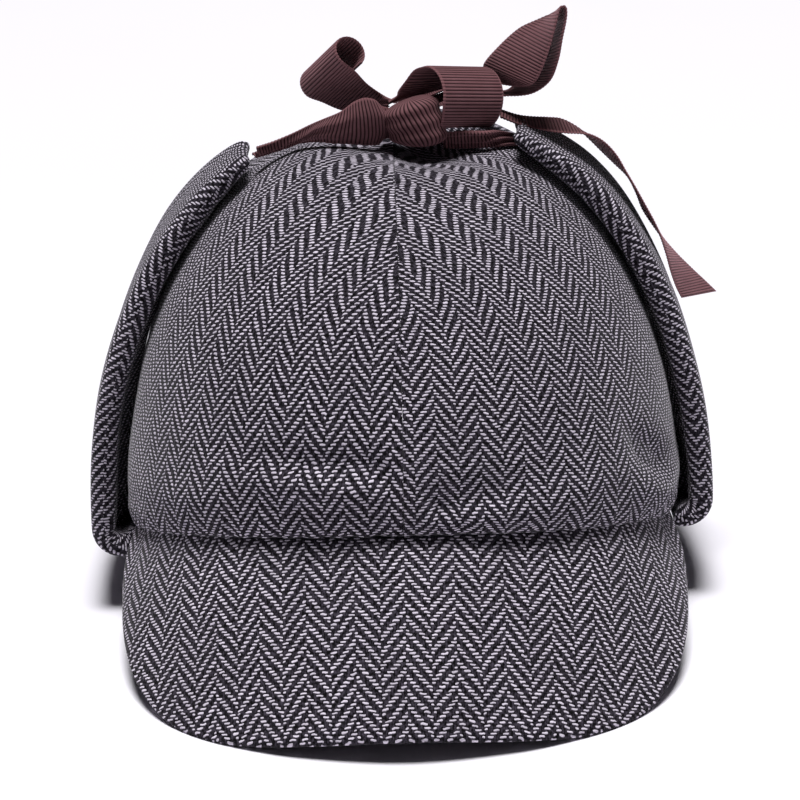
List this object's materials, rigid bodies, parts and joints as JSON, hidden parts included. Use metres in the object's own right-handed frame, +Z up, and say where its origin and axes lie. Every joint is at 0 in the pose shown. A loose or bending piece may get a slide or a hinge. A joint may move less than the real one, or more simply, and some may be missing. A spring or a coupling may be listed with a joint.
{
  "type": "deerstalker hat",
  "caption": "Deerstalker hat in herringbone tweed, with a peak at the front and back and ear flaps tied up over the crown by a grosgrain ribbon bow.",
  "frame": {"origin": "on the surface the hat stands on, under the middle of its overall width and length", "axes": "-Y is the front of the hat, +X the side of the hanging ribbon tail, +Z up"},
  "size_m": [0.2046, 0.2748, 0.1874],
  "materials": {
    "crown_tweed": "matt woollen herringbone",
    "peak_tweed": "matt woollen herringbone",
    "flap_tweed": "matt woollen herringbone",
    "grosgrain_ribbon": "ribbed, slightly glossy"
  },
  "bodies": {
    "root": {"crown_front_left": "crown_tweed", "crown_front_right": "crown_tweed", "crown_back_left": "crown_tweed", "crown_back_right": "crown_tweed", "front_peak": "peak_tweed", "back_peak": "peak_tweed", "ear_flap_left": "flap_tweed", "ear_flap_right": "flap_tweed", "ribbon_tie_left": "grosgrain_ribbon", "ribbon_tie_right": "grosgrain_ribbon", "bow_knot": "grosgrain_ribbon", "bow_loop_front": "grosgrain_ribbon", "bow_loop_right": "grosgrain_ribbon", "bow_tail_left": "grosgrain_ribbon", "bow_tail_right": "grosgrain_ribbon"}
  },
  "joints": []
}
